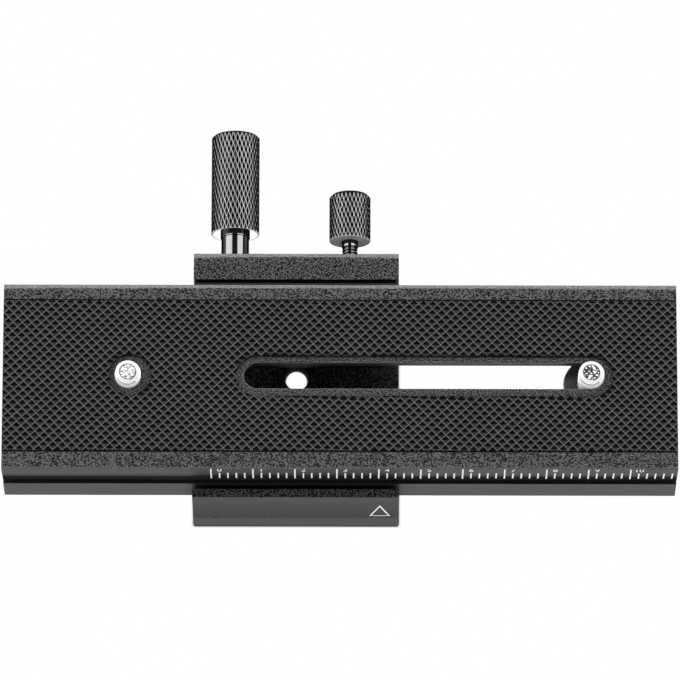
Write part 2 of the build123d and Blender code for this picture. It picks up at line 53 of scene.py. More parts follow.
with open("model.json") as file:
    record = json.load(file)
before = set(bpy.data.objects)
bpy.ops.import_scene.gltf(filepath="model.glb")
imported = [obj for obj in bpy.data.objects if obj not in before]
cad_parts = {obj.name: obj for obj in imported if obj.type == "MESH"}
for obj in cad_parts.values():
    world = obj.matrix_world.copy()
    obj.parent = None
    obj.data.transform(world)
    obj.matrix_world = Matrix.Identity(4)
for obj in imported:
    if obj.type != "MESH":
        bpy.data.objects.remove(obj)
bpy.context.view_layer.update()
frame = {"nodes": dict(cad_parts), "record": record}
RAIL_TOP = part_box("rail_bar")[1].z / MM


class Slot(Enum):
    """Material slots of the record."""

    ANODISED = "black_anodised"
    RUBBER = "pad_rubber"
    STEEL = "bare_steel"
    ALUMINIUM = "bare_aluminium"
    BRONZE = "bronze"
    NYLON = "nylon"
    BLACK_STEEL = "black_steel"
    KNURLED = "knurled_aluminium"
    BRIGHT = "bright_steel"


class Cut(Enum):
    """Side of a cutting plane that is taken away."""

    AHEAD = "clear_outer"
    BEHIND = "clear_inner"


class Signal:
    """A shader socket that Python's operators work on."""

    def __init__(self, graph: "Graph", socket: bpy.types.NodeSocket) -> None:
        """Wrap an output socket of a graph."""
        self.graph = graph
        self.socket = socket

    def __add__(self, other: "Signal | float") -> "Signal":
        """Sum of two values."""
        return self.graph.maths("ADD", self, other)

    def __sub__(self, other: "Signal | float") -> "Signal":
        """Difference of two values."""
        return self.graph.maths("SUBTRACT", self, other)

    def __rsub__(self, other: float) -> "Signal":
        """Difference from a number."""
        return self.graph.maths("SUBTRACT", other, self)

    def __mul__(self, other: "Signal | float") -> "Signal":
        """Product of two values."""
        return self.graph.maths("MULTIPLY", self, other)

    __radd__ = __add__
    __rmul__ = __mul__

    def between(self, low: float, high: float) -> "Signal":
        """Turn the value into a share by a smooth step.

        Args:
            low: Value at which the share is 0.
            high: Value at which it is 1.

        Returns:
            The share's signal.
        """
        return self.graph.node(
            "ShaderNodeMapRange",
            {"interpolation_type": "SMOOTHSTEP"},
            {"Value": self, "From Min": low, "From Max": high},
        )


class Graph:
    """Node tree of one material or of the world."""

    MIX_FACTOR, MIX_FIRST, MIX_SECOND, MIX_RESULT = 0, 6, 7, 2

    def __init__(self, owner: bpy.types.Material | bpy.types.World) -> None:
        """Empty the owner's tree and start on it."""
        owner.use_nodes = True
        self.tree = owner.node_tree
        self.tree.nodes.clear()

    def node(
        self,
        kind: str,
        settings: Mapping[str, Any] | None = None,
        inputs: Mapping[str | int, Any] | None = None,
        output: str | int = 0,
    ) -> Signal | None:
        """Add a node.

        Args:
            kind: Type of the node.
            settings: Its options, which are set first.
            inputs: Values or signals of its sockets, by name or number.
            output: Name or number of the socket that is handed back.

        Returns:
            The signal of the output, or None from a node without one.
        """
        made = self.tree.nodes.new(kind)
        for name, value in (settings or {}).items():
            setattr(made, name, value)
        for name, value in (inputs or {}).items():
            if isinstance(value, Signal):
                self.tree.links.new(value.socket, made.inputs[name])
            else:
                made.inputs[name].default_value = value
        return Signal(self, made.outputs[output]) if made.outputs else None

    def maths(self, operation: str, first: Signal | float, second: Signal | float) -> Signal:
        """Add a Math node for one operator."""
        return self.node("ShaderNodeMath", {"operation": operation}, {0: first, 1: second})

    def mix(self, factor: Signal | float, first: Any, second: Any) -> Signal:
        """Mix two colours.

        Args:
            factor: Share of the second colour.
            first: Colour or signal.
            second: Colour or signal.

        Returns:
            The mixed colour's signal.
        """
        return self.node(
            "ShaderNodeMix",
            {"data_type": "RGBA"},
            {self.MIX_FACTOR: factor, self.MIX_FIRST: first, self.MIX_SECOND: second},
            self.MIX_RESULT,
        )

    def place(self) -> Signal:
        """Object coordinates, in metres in the row frame."""
        return self.node("ShaderNodeTexCoord", output="Object")

    def part(self, vector: Signal, axis: str) -> Signal:
        """Part of a vector along an axis."""
        return self.node("ShaderNodeSeparateXYZ", inputs={0: vector}, output=axis)

    def height(self) -> Signal:
        """Height in the row frame, in millimetres."""
        return self.part(self.place(), "Z") * (1 / MM)

    def facing(self, axis: str) -> Signal:
        """Part of the surface's normal along an axis of the object."""
        return self.part(self.node("ShaderNodeTexCoord", output="Normal"), axis)

    def attribute(self, name: str) -> Signal:
        """Value of a mesh attribute."""
        return self.node("ShaderNodeAttribute", {"attribute_name": name}, output="Fac")

    def noise(self, size: float, detail: float = 2.0) -> Signal:
        """Noise whose features are about size millimetres across."""
        inputs = {"Vector": self.place(), "Scale": 1 / (size * MM), "Detail": detail}
        return self.node("ShaderNodeTexNoise", inputs=inputs)

    def bump(self, height: Signal, depth: float) -> Signal:
        """Normal of a surface whose height of 0 to 1 stands for depth millimetres."""
        return self.node("ShaderNodeBump", inputs={"Distance": depth * MM, "Height": height})


def grey(level: float) -> tuple[float, float, float, float]:
    """Colour of one level in all channels."""
    return (level, level, level, 1.0)


def tint(colour: Colour, factor: float = 1.0) -> tuple[float, float, float, float]:
    """Colour with its channels times a factor."""
    red, green, blue = (channel * factor for channel in colour)
    return (red, green, blue, 1.0)


@dataclass(frozen=True)
class Finish:
    """A surface with fine mottling and a fine bump."""

    name: str
    slot: Slot
    colour: Colour
    roughness: float
    metallic: float = 0.0
    specular: float = 0.5
    edge_tint: float = 1.0
    mottle: float = 0.1
    mottle_size: float = 1.0
    grain_size: float = 0.3
    grain_depth: float = 0.004

    def material(self) -> bpy.types.Material:
        """Build the finish's material once.

        Returns:
            The material, which all pieces with this finish share.
        """
        known = bpy.data.materials.get(self.name)
        if known:
            return known
        made = bpy.data.materials.new(self.name)
        graph = Graph(made)
        graph.node("ShaderNodeOutputMaterial", inputs={"Surface": self.shade(graph)})
        return made

    def shade(self, graph: Graph) -> Signal:
        """Shader of the finish.

        Args:
            graph: Tree of the material, as in the methods below.

        Returns:
            The signal for the material's surface.
        """
        normal = graph.bump(graph.noise(self.grain_size), self.grain_depth)
        return self.surface(graph, self.paint(graph), normal)

    def paint(self, graph: Graph) -> Signal:
        """Colour of the finish."""
        mottle = graph.noise(self.mottle_size, detail=3.0)
        return graph.mix(mottle, tint(self.colour, 1 - self.mottle), tint(self.colour, 1 + self.mottle))

    def metal(self, graph: Graph) -> Signal | float:
        """Share of bare metal."""
        return self.metallic

    def surface(self, graph: Graph, colour: Signal, normal: Signal) -> Signal:
        """Principled shader of the finish.

        Args:
            graph: Tree of the material.
            colour: Its colour.
            normal: Its bumped normal.

        Returns:
            The shader's signal.
        """
        return graph.node(
            "ShaderNodeBsdfPrincipled",
            inputs={
                "Base Color": colour,
                "Roughness": self.roughness,
                "Metallic": self.metal(graph),
                "Specular IOR Level": self.specular,
                "Specular Tint": grey(self.edge_tint),
                "Normal": normal,
            },
        )


@dataclass(frozen=True)
class BlastedAnodising(Finish):
    """Black anodising over a blasted extrusion, with painted shade, highlights and sparkle specks on
    tops.

    SPAN is the brightest level of its colour. The other constants are the ranges in which a part of
    the normal picks a kind of face. Heights and sizes are in millimetres.
    """

    SPAN = 10.0
    TOP = (0.95, 0.99)
    SLANT = (0.45, 0.65)
    BACK = (-0.1, 0.1)
    FRONT = (-0.95, -0.8)
    LIP_START = (0.1, 0.2)
    LIP_END = (0.3, 0.4)
    UPRIGHT = (-0.18, 0.0)
    UNDERSIDE = (-0.97, -0.9)

    speck_size: float = 0.37
    speck_depth: float = 0.02
    speck_start: float = 0.46
    speck_end: float = 0.54
    speck_light: float = 4.6
    # slant_base, front_gain and back_gain scale a painted highlight on slanting edges, brighter on those
    # that face back. The line fields paint a bright line, and the fade fields add painted shade that
    # deepens down to it.
    slant_base: float = 0.5
    front_gain: float = 3.0
    back_gain: float = 8.0
    # The next two fields set how strong and how dark the painted shade over dim places is.
    painted_shade_share: float = 0.9
    painted_shade_level: float = 0.01
    band_blend: float = 0.1
    groove_low: float = 0.0
    groove_high: float = 0.1
    line_height: float = -1.0
    line_half: float = 0.2
    line_gain: float = 10.0
    fade_high: float = 0.0
    fade_share: float = 0.72

    def shade(self, graph: Graph) -> Signal:
        """Painted sparkle specks on top, painted edge highlights and painted shade on dim faces."""
        upward = graph.facing("Z")
        top = upward.between(*self.TOP)
        # Painted highlight on slanting edges, brighter on those that face back.
        slant = upward.between(*self.SLANT) * (1 - top)
        backward = graph.facing("Y").between(*self.BACK)
        gain = self.front_gain + (self.back_gain - self.front_gain) * backward
        # Specks of the blasted surface, painted brighter on faces that look up, where they also stand for
        # sparkle.
        speck = graph.noise(self.speck_size, detail=1.0).between(self.speck_start, self.speck_end)
        grain_and_sparkle = self.speck_light * speck - 1
        # A bright line at one height is a painted highlight.
        line = self.band(graph, self.line_height - self.line_half, self.line_height + self.line_half)
        level = 1 + grain_and_sparkle * top + slant * gain * (self.slant_base + speck) + line * self.line_gain
        colour = graph.mix(level * (1 / self.SPAN), grey(0.0), tint(self.colour, self.SPAN))
        shader = self.surface(graph, colour, graph.bump(speck * top, self.speck_depth))
        # A dark diffuse mixed over the picked places is painted shade.
        dark = graph.node("ShaderNodeBsdfDiffuse", inputs={"Color": grey(self.painted_shade_level)})
        share = self.painted_shade(graph) * self.painted_shade_share
        return graph.node("ShaderNodeMixShader", inputs={0: share, 1: shader, 2: dark})

    def band(self, graph: Graph, low: float, high: float) -> Signal:
        """Pick the places between two heights.

        Args:
            graph: Tree of the material.
            low: Lower height, in millimetres.
            high: Upper height, in millimetres.

        Returns:
            1 between the heights and 0 outside them.
        """
        height = graph.height()
        above = height.between(low - self.band_blend, low)
        return above * (1 - height.between(high, high + self.band_blend))

    def painted_shade(self, graph: Graph) -> Signal:
        """Pick places that see little light, for painted shade: overhangs, the lip, the groove and the
        front's foot.

        Args:
            graph: Tree of the material.

        Returns:
            Share of painted shade there.
        """
        upward = graph.facing("Z")
        along = graph.facing("X")
        # Overhangs, the lip's slope and the groove band get painted shade.
        overhang = (1 - upward.between(*self.UPRIGHT)) * upward.between(*self.UNDERSIDE)
        lip = upward.between(*self.LIP_START) * (1 - upward.between(*self.LIP_END))
        groove = self.band(graph, self.groove_low, self.groove_high) * (1 - along * along)
        front = 1 - graph.facing("Y").between(*self.FRONT)
        # The front gets painted shade that deepens from the top down to the line.
        above = self.band(graph, self.line_height + self.line_half, self.fade_high)
        fade = above * (1 - graph.height().between(self.line_height, self.fade_high))
        return graph.maths("MAXIMUM", overhang + lip + front * fade * self.fade_share, groove)


@dataclass(frozen=True)
class MarkedFinish(Finish):
    """A surface with another colour where an attribute is 1."""

    mark: str = "groove"
    mark_start: float = 0.0
    mark_end: float = 1.0
    marked: Colour = (0.3, 0.3, 0.3)
    marked_metal: float = 0.0

    def share(self, graph: Graph) -> Signal:
        """Share of the marked colour."""
        return graph.attribute(self.mark).between(self.mark_start, self.mark_end)

    def paint(self, graph: Graph) -> Signal:
        """The finish's colour, turned into the other one by the attribute."""
        return graph.mix(self.share(graph), super().paint(graph), tint(self.marked))

    def metal(self, graph: Graph) -> Signal:
        """Share of bare metal, which may differ where the surface is marked."""
        return self.metallic + (self.marked_metal - self.metallic) * self.share(graph)


@dataclass(frozen=True)
class PittedRubber(MarkedFinish):
    """Rubber with painted shade on its pits' far sides and a painted highlight on the ridges between."""

    NEAR_SIDE = (-0.15, 0.25)

    far_side_shade: Colour = (0.002, 0.002, 0.002)
    patch_base: float = 0.4
    patch_gain: float = 1.2

    def paint(self, graph: Graph) -> Signal:
        """Painted shade on far sides, painted light on near sides, painted highlight on ridges."""
        patches = self.patch_base + graph.noise(self.mottle_size, detail=1.0) * self.patch_gain
        # Near sides of the pits take the colour as painted light, in random patches; far sides take
        # painted shade.
        near = graph.facing("Y").between(*self.NEAR_SIDE) * patches
        pits = graph.mix(near, tint(self.far_side_shade), tint(self.colour))
        return graph.mix(self.share(graph), pits, tint(self.marked))


@dataclass(frozen=True)
class SpeckledPlating(MarkedFinish):
    """Bright plating with dark thread roots and dark scratches on its top."""

    TOP = (0.9, 0.95)

    scratch_size: float = 0.9
    scratch_width: float = 0.018

    def paint(self, graph: Graph) -> Signal:
        """Scratches along the lines on which a noise is at its middle."""
        offset = graph.noise(self.scratch_size) - 0.5
        width = self.scratch_width**2
        clear = (offset * offset).between(width, 3 * width)
        scratches = (1 - clear) * graph.facing("Z").between(*self.TOP)
        return graph.mix(scratches, super().paint(graph), tint(self.marked))


@dataclass(frozen=True)
class SawnStrip(Finish):
    """Strip painted black as shade, whose sawn ends have the colour of bare metal."""

    END = (0.2, 0.4)

    bare: Colour = (0.9, 0.9, 0.9)

    def paint(self, graph: Graph) -> Signal:
        """Bare where the surface looks along the strip."""
        along = graph.facing("X")
        return graph.mix((along * along).between(*self.END), tint(self.colour), tint(self.bare))


# groove_low and groove_high place painted shade in the rail's side groove.
ANODISED = BlastedAnodising(
    "black_anodising", Slot.ANODISED, (0.022, 0.022, 0.0224), 0.48, specular=0.28,
    groove_low=RAIL_TOP - 12.2, groove_high=RAIL_TOP - 9.65,
)
# The base's front gets a painted highlight line at line_height, painted shade that deepens from fade_high
# down to it, and painted shade on its bottom edge in the groove band.
BASE_ANODISED = BlastedAnodising(
    "base_anodising", Slot.ANODISED, (0.023, 0.023, 0.0234), 0.48, specular=0.19,
    speck_light=5.0, back_gain=9.5, painted_shade_share=0.4,
    line_height=7.3, fade_high=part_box("base_block")[1].z / MM,
)
KNURLED = MarkedFinish(
    "knurled_anodising", Slot.KNURLED, (0.004, 0.004, 0.004), 0.35, metallic=0.9, specular=0.12,
    edge_tint=0.1, mark_start=0.2, mark_end=0.6, marked=(0.97, 0.97, 0.97), marked_metal=0.35,
)
BARE_FACE = Finish("turned_face", Slot.ALUMINIUM, (0.97, 0.97, 0.97), 0.03, metallic=1.0, mottle=0.02)
# The lock knob's turned face is bare aluminium; this white diffuse is a painted reflection of the white
# floor.
FLOOR_REFLECTION_FACE = Finish("painted_floor_reflection", Slot.ALUMINIUM, (0.97, 0.97, 0.97), 0.4, specular=0.8, mottle=0.02)
# Moulded rubber: its pits' near sides get painted light, their far sides painted shade, and its ridges a
# painted highlight.
RUBBER = PittedRubber(
    "moulded_rubber", Slot.RUBBER, (0.034, 0.034, 0.034), 0.6, specular=0.06, mottle_size=0.28,
    mark="ridge", mark_start=0.84, mark_end=1.02, marked=(0.2, 0.2, 0.2),
)
BRIGHT = SpeckledPlating(
    "bright_nickel", Slot.BRIGHT, (0.95, 0.95, 0.94), 0.42, metallic=0.1, mottle=0.03,
    mark="root", marked=(0.04, 0.04, 0.04),
)
WORN_BRIGHT = SpeckledPlating(
    "worn_nickel", Slot.BRIGHT, (0.95, 0.95, 0.94), 0.42, metallic=0.1, mottle=0.03,
    mark="root", marked=(0.02, 0.02, 0.02), scratch_size=1.0, scratch_width=0.06,
)
POLISHED = Finish(
    "polished_black", Slot.BLACK_STEEL, (0.072, 0.072, 0.072), 0.08, metallic=1.0, edge_tint=0.0,
    mottle=0.03, grain_depth=0.0002,
)
BLACK_STEEL = Finish("black_oxide", Slot.BLACK_STEEL, (0.03, 0.03, 0.031), 0.3)
STEEL = Finish("machined_steel", Slot.STEEL, (0.5, 0.5, 0.49), 0.38, metallic=1.0)
# The gib is bare aluminium; its black colour is painted shade for the gap that it sits in.
SHADED_GIB_STRIP = SawnStrip("gib_painted_shade", Slot.ALUMINIUM, (0.02, 0.02, 0.02), 0.45)
BRONZE = Finish("bearing_bronze", Slot.BRONZE, (0.5, 0.32, 0.16), 0.35, metallic=1.0)
NYLON = Finish("black_nylon", Slot.NYLON, (0.1, 0.1, 0.1), 0.45)
PRINT = Finish("white_print", Slot.ANODISED, (0.95, 0.95, 0.95), 0.6, mottle=0.03)


def add_object(name: str, data: bpy.types.ID) -> bpy.types.Object:
    """Put a mesh, a lamp or a camera into the scene."""
    made = bpy.data.objects.new(name, data)
    bpy.context.scene.collection.objects.link(made)
    return made


class Blank:
    """A mesh in the making, which becomes one named piece."""

    def __init__(self) -> None:
        """Start with no geometry."""
        self.mesh = bmesh.new()

    def chain(self, points: Sequence[Sequence[float]], closed: bool = False) -> list[Any]:
        """Join points by edges.

        Args:
            points: Places of the points, in order.
            closed: Whether the last one joins the first.

        Returns:
            The points and the edges.
        """
        verts = [self.mesh.verts.new(point) for point in points]
        ends = verts[1:] + verts[:1] if closed else verts[1:]
        return verts + [self.mesh.edges.new(pair) for pair in zip(verts, ends)]

    def lathe(self, outline: Outline, steps: int, closed: bool = False) -> "Blank":
        """Turn an outline of radii and heights about the Z axis.

        Args:
            outline: Radius and height of each point.
            steps: Sides of the round.
            closed: Whether the last point joins the first, as in a ring.

        Returns:
            The blank itself.
        """
        geometry = self.chain([(radius, 0, height) for radius, height in outline], closed)
        bmesh.ops.spin(
            self.mesh, geom=geometry, cent=(0, 0, 0), axis=(0, 0, 1), dvec=(0, 0, 0),
            angle=math.tau, steps=steps, use_merge=True, use_duplicate=False,
        )
        return self.merge()

    def wind(self, outline: Outline, pitch: float, turns: int, steps: int) -> "Blank":
        """Wind one pitch of a thread's profile up the Z axis.

        Args:
            outline: Radius and height of the profile's points, over one pitch.
            pitch: Rise of one turn.
            turns: Number of turns.
            steps: Sides of one turn.

        Returns:
            The blank itself.
        """
        geometry = self.chain([(radius, 0, height) for radius, height in outline])
        bmesh.ops.spin(
            self.mesh, geom=geometry, cent=(0, 0, 0), axis=(0, 0, 1), dvec=(0, 0, pitch / steps),
            angle=math.tau * turns, steps=steps * turns, use_merge=False, use_duplicate=False,
        )
        return self.merge()

    def cylinder(self, radius: float, depth: float, sides: int, capped: bool = True) -> list[Any]:
        """Add a cylinder round the Z axis, with its middle at z = 0.

        Args:
            radius: Radius of the cylinder.
            depth: Its height.
            sides: Sides of the round.
            capped: Whether its ends are closed.

        Returns:
            Its points.
        """
        return bmesh.ops.create_cone(
            self.mesh, cap_ends=capped, segments=sides, radius1=radius, radius2=radius, depth=depth
        )["verts"]

    def merge(self, distance: float = MERGE) -> "Blank":
        """Merge doubled points and turn the faces outwards."""
        bmesh.ops.remove_doubles(self.mesh, verts=self.mesh.verts, dist=distance)
        bmesh.ops.recalc_face_normals(self.mesh, faces=self.mesh.faces)
        return self

    def cut(self, axis: int, place: float, away: Cut | None = None) -> "Blank":
        """Cut along a plane.

        Args:
            axis: Axis that the plane stands across, from 0 to 2.
            place: Where it crosses that axis.
            away: Side that is taken away, or None to keep both.

        Returns:
            The blank itself.
        """
        normal = Vector((0, 0, 0))
        normal[axis] = 1
        geometry = [*self.mesh.verts, *self.mesh.edges, *self.mesh.faces]
        options = {away.value: True} if away else {}
        bmesh.ops.bisect_plane(
            self.mesh, geom=geometry, dist=MERGE / 10, plane_co=normal * place, plane_no=normal, **options
        )
        return self

    def trim(self, axis: int, low: float, high: float) -> "Blank":
        """Keep what lies between two places on an axis."""
        return self.cut(axis, low, Cut.BEHIND).cut(axis, high, Cut.AHEAD)

    def rims(self) -> list[Any]:
        """Open edges."""
        return [edge for edge in self.mesh.edges if edge.is_boundary]

    def rim(self, height: float) -> list[Any]:
        """Open edges at one height."""
        return [edge for edge in self.rims() if abs(edge.verts[0].co.z - height) < MERGE]

    def thicken(self, thickness: float) -> "Blank":
        """Give a flat print its thickness."""
        bmesh.ops.solidify(self.mesh, geom=self.mesh.faces[:], thickness=thickness)
        bmesh.ops.recalc_face_normals(self.mesh, faces=self.mesh.faces)
        return self

    def cap(self) -> "Blank":
        """Close every open rim with a face."""
        bmesh.ops.holes_fill(self.mesh, edges=self.rims(), sides=0)
        bmesh.ops.recalc_face_normals(self.mesh, faces=self.mesh.faces)
        return self

    def move(self, matrix: Matrix) -> "Blank":
        """Transform all points."""
        bmesh.ops.transform(self.mesh, matrix=matrix, verts=self.mesh.verts)
        return self

    def lay(self, node: str, start: float) -> "Blank":
        """Lay what stands on z = 0 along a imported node's axis, from a place on the Y axis."""
        centre = middle(node)
        return self.move(Matrix.Translation((centre.x, start, centre.z)) @ LIE_DOWN)

    def add_layer(self, name: str) -> "Blank":
        """Add an attribute of points, before any of them are picked."""
        self.mesh.verts.layers.float.new(name)
        return self

    def mark(self, name: str, chosen: Iterable[Any], level: float = 1.0) -> "Blank":
        """Give points a value in an attribute.

        Args:
            name: Name of the attribute.
            chosen: Points that get the value.
            level: The value.

        Returns:
            The blank itself.
        """
        layer = self.mesh.verts.layers.float[name]
        for vert in chosen:
            vert[layer] = level
        return self

    def object(self, name: str) -> bpy.types.Object:
        """Turn the blank into an object in the scene, which ends the blank.

        Args:
            name: Name of the object.

        Returns:
            The object.
        """
        mesh = bpy.data.meshes.new(name)
        self.mesh.to_mesh(mesh)
        self.mesh.free()
        return add_object(name, mesh)

    def piece(
        self,
        name: str,
        body: str,
        finish: Finish,
        replaces: Sequence[str] = (),
        crease: float = 35.0,
        cutters: Sequence[bpy.types.Object] = (),
    ) -> bpy.types.Object:
        """Finish the blank as a piece that rides on a body.

        Args:
            name: Name of the piece.
            body: Body that it rides on.
            finish: Its surface.
            replaces: Nodes that it stands for.
            crease: Angle in degrees above which an edge stays sharp.
            cutters: Solids that are cut out of it and then removed.

        Returns:
            The piece's object.
        """
        made = self.object(name)
        if cutters:
            carve(made, cutters)
        made.data.shade_smooth()
        made.data.set_sharp_from_angle(angle=math.radians(crease))
        return install(made, body, finish, replaces)


def carve(target: bpy.types.Object, cutters: Sequence[bpy.types.Object]) -> None:
    """Cut solids out of a piece, apply the result and remove the solids.

    Args:
        target: Piece that is cut.
        cutters: Solids that are cut out of it.
    """
    for number, cutter in enumerate(cutters):
        modifier = target.modifiers.new(f"cut_{number}", "BOOLEAN")
        modifier.operation = "DIFFERENCE"
        modifier.solver = "EXACT"
        modifier.object = cutter
    bpy.context.view_layer.update()
    graph = bpy.context.evaluated_depsgraph_get()
    carved = bpy.data.meshes.new_from_object(target.evaluated_get(graph))
    target.modifiers.clear()
    target.data = carved
    for cutter in cutters:
        bpy.data.objects.remove(cutter)


def coat(target: bpy.types.Object, finish: Finish) -> None:
    """Give an object one finish all over."""
    target.data.materials.clear()
    target.data.materials.append(finish.material())


def install(
    made: bpy.types.Object, body: str, finish: Finish, replaces: Sequence[str] = ()
) -> bpy.types.Object:
    """Dress an object, set it on its body and report it.

    Args:
        made: Object of the piece.
        body: Body that it rides on.
        finish: Its surface.
        replaces: Nodes that it stands for.

    Returns:
        The object itself.
    """
    coat(made, finish)
    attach(made, body)
    if replaces:
        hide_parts(*replaces)
    log.info("%s: %d faces on %s", made.name, len(made.data.polygons), body)
    return made


def dress(finish: Finish, *nodes: str) -> None:
    """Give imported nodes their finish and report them.

    Args:
        finish: Their surface.
        *nodes: Names of the nodes.
    """
    for name in nodes:
        coat(frame["nodes"][name], finish)
        log.info("%s: packed shape, %s", name, finish.name)


def soften(node: str, width: float) -> None:
    """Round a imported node's sharp edges, so that they catch the light.

    Args:
        node: Name of the node.
        width: Width of the rounding, in millimetres.
    """
    target = frame["nodes"][node]
    weld = target.modifiers.new("weld", "WELD")
    weld.merge_threshold = MERGE
    bevel = target.modifiers.new("edge", "BEVEL")
    bevel.width = width * MM
    bevel.segments = BEVEL_SEGMENTS
    bevel.limit_method = "ANGLE"
    bevel.angle_limit = math.radians(SHARP_EDGE)


def middle(node: str) -> Vector:
    """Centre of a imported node's box."""
    low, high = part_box(node)
    return (low + high) / 2


def points_of(items: Iterable[Any]) -> list[Any]:
    """Points among the geometry that an operator hands back."""
    return [item for item in items if isinstance(item, bmesh.types.BMVert)]


def metres(outline: Outline) -> list[tuple[float, float]]:
    """Outline in metres from one in millimetres."""
    return [(radius * MM, height * MM) for radius, height in outline]


@dataclass
class Knurl:
    """Diamond knurl rolled round a knob, in millimetres."""

    SPARE_CELLS = 8

    around: int
    period: float
    depth: float
    land: float

    def sheet(self, radius: float, length: float) -> Blank:
        """Knurled tube about the Z axis, open at both ends.

        Args:
            radius: Radius over the diamonds, in metres.
            length: Length of the tube from z = 0, in metres.

        Returns:
            A blank with the attribute groove between the diamonds' lands.
        """
        wide = math.tau * radius / self.around
        tall = self.period * MM
        count = self.around + 2 * math.ceil(length / tall) + self.SPARE_CELLS
        blank = Blank().add_layer("groove")
        bmesh.ops.create_grid(blank.mesh, x_segments=count, y_segments=count, size=count / 2)
        turn = Matrix.Rotation(math.radians(45), 4, "Z")
        stretch = Matrix.Diagonal((wide * math.sqrt(0.5), tall * math.sqrt(0.5), 1, 1))
        blank.move(stretch @ turn)
        spread = wide * self.around / 2
        blank.trim(0, -spread, spread).trim(1, -tall, length + tall)
        rings = bmesh.ops.inset_individual(
            blank.mesh, faces=blank.mesh.faces[:], thickness=self.land * MM, depth=self.depth * MM
        )
        slopes = set(rings["faces"])
        lands = {vert for face in blank.mesh.faces if face not in slopes for vert in face.verts}
        blank.mark("groove", (vert for vert in blank.mesh.verts if vert not in lands))
        for vert in blank.mesh.verts:
            angle = vert.co.x / radius
            reach = radius - self.depth * MM + vert.co.z
            vert.co = Vector((reach * math.sin(angle), reach * math.cos(angle), vert.co.y))
        return blank.merge(WELD).trim(2, 0, length)


@dataclass
class KnurledKnob:
    """Turned and knurled knob that stands for a packed one, in millimetres."""

    node: str
    body: str
    knurl: Knurl
    near_rim: float = 0.12
    near_shade: float = 1.0
    far_rim: float = 0.45
    far_shade: float = 0.25
    far_inner: float = 0.5
    undercut: float = 0.02
    bore: float = 2.52
    bore_depth: float = 17.0
    face: Finish = BARE_FACE
    face_depth: float = 0.06
    face_sides: int = 64

    def rim(self, blank: Blank, height: float, steps: Outline, shade: float) -> None:
        """Carry an open rim through rings of given radius and height.

        Args:
            blank: The knurled tube.
            height: Height of the rim that is carried.
            steps: Radius and height of each new ring.
            shade: Level of the attribute groove there.
        """
        edges = blank.rim(height)
        for radius, level in steps:
            made = bmesh.ops.extrude_edge_only(blank.mesh, edges=edges)["geom"]
            ring = points_of(made)
            for vert in ring:
                flat = Vector((vert.co.x, vert.co.y, 0)).normalized() * radius
                vert.co = Vector((flat.x, flat.y, level))
            blank.mark("groove", ring, shade)
            edges = [item for item in made if isinstance(item, bmesh.types.BMEdge) and item.is_boundary]

    def build(self) -> None:
        """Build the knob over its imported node, with its axis along Y."""
        low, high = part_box(self.node)
        radius = (high.x - low.x) / 2
        near, far, bore = self.near_rim * MM, self.far_rim * MM, self.bore * MM
        tube = high.y - low.y - near - far
        blank = self.knurl.sheet(radius, tube)
        mouth = [(radius - near, -near), (bore, -near), (bore, self.bore_depth * MM - near)]
        self.rim(blank, 0, mouth, self.near_shade)
        end = [
            (radius - self.undercut * MM, tube),
            (radius - far, tube + far),
            (radius * self.far_inner, tube + far),
        ]
        self.rim(blank, tube, end, self.far_shade)
        blank.cap().lay(self.node, low.y + near)
        blank.piece(f"{self.node}_knurled", self.body, KNURLED, [self.node])
        self.turned_face(radius - self.knurl.depth * MM - near)

    def turned_face(self, radius: float) -> None:
        """Turned ring on the knob's near end, painted as a reflection on the lock knob.

        Args:
            radius: Outer radius of the ring, in metres.
        """
        bore, depth = self.bore * MM, self.face_depth * MM
        outline = [(bore, 0), (radius, 0), (radius, depth), (bore, depth)]
        blank = Blank().lathe(outline, self.face_sides, closed=True)
        blank.lay(self.node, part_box(self.node)[0].y - depth / 2)
        blank.piece(f"{self.node}_turned_face", self.body, self.face)


